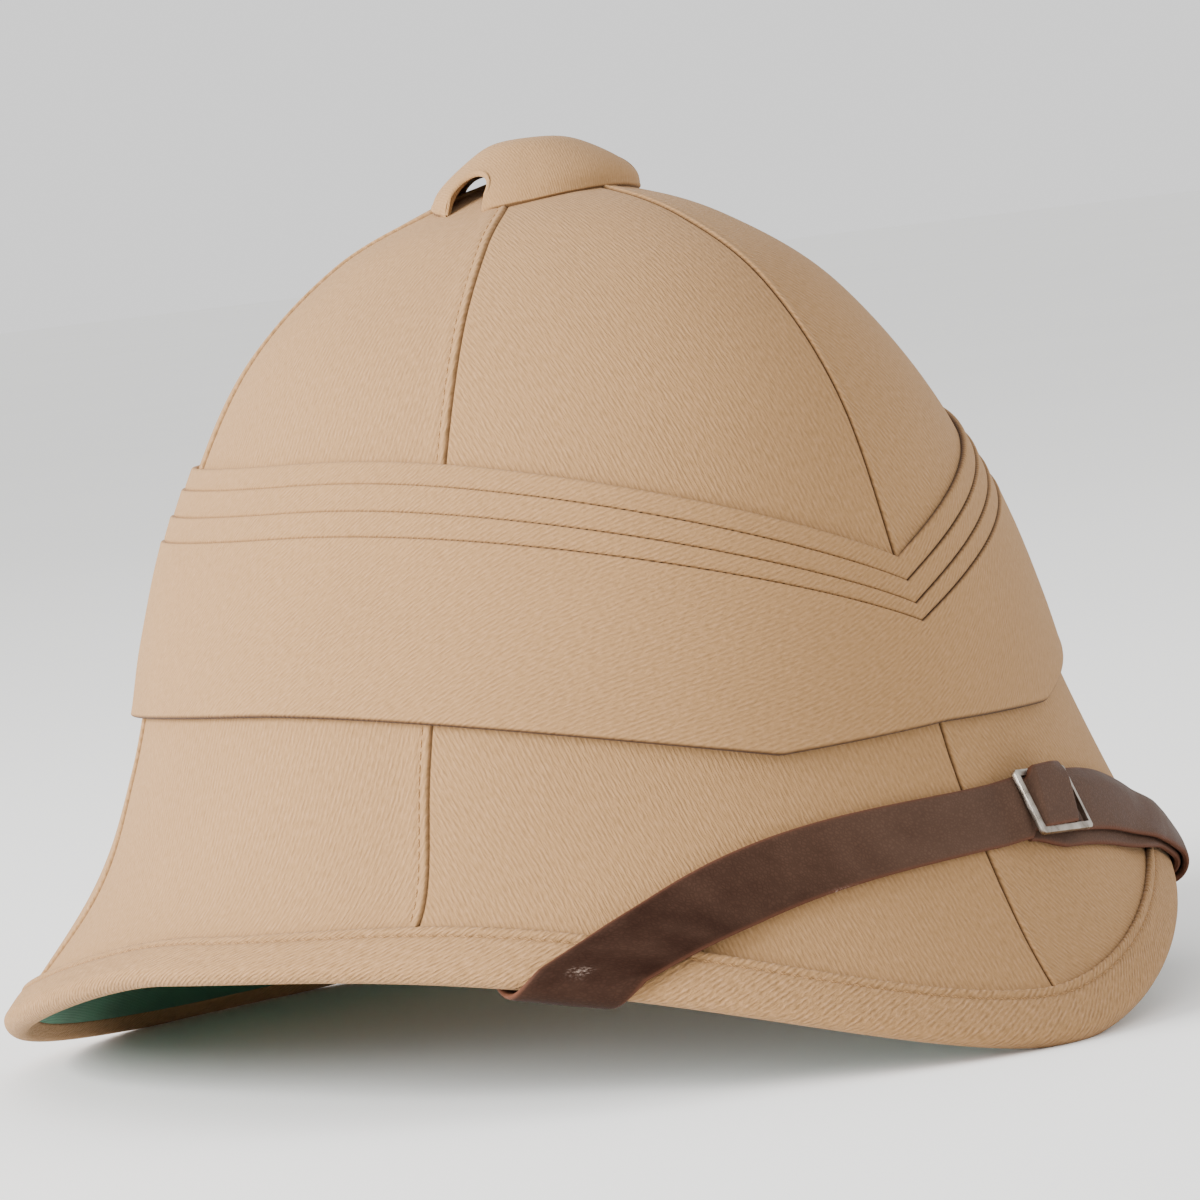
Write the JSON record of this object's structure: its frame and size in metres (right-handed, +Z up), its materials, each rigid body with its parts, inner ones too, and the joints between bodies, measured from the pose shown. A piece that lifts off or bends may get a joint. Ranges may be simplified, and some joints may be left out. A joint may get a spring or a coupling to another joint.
{
  "type": "pith helmet",
  "caption": "Khaki cloth-covered pith helmet with a domed ventilator cap, folded pugaree, bound rim, green brim lining and a leather chin strap with a slide buckle over the front peak.",
  "frame": {"origin": "middle of the footprint, on the surface that the front and back of the rim rest on", "axes": "+Z up, -Y towards the front peak, -X towards the wearer's right"},
  "size_m": [0.2818, 0.3368, 0.2272],
  "materials": {
    "khaki_twill": "khaki cotton twill, matt, over a stiff light shell",
    "green_lining": "dark green cotton, matt",
    "strap_leather": "dark brown leather with a fine pebble grain",
    "buckle_steel": "satin steel"
  },
  "bodies": {
    "root": {"helmet_shell": "khaki_twill", "ventilator_cap": "khaki_twill", "pugaree": "khaki_twill", "rim_binding": "khaki_twill", "brim_lining": "green_lining", "chin_strap": "strap_leather", "strap_tail": "strap_leather", "slide_buckle": "buckle_steel", "strap_stud_right": "buckle_steel", "strap_stud_left": "buckle_steel"}
  },
  "joints": []
}
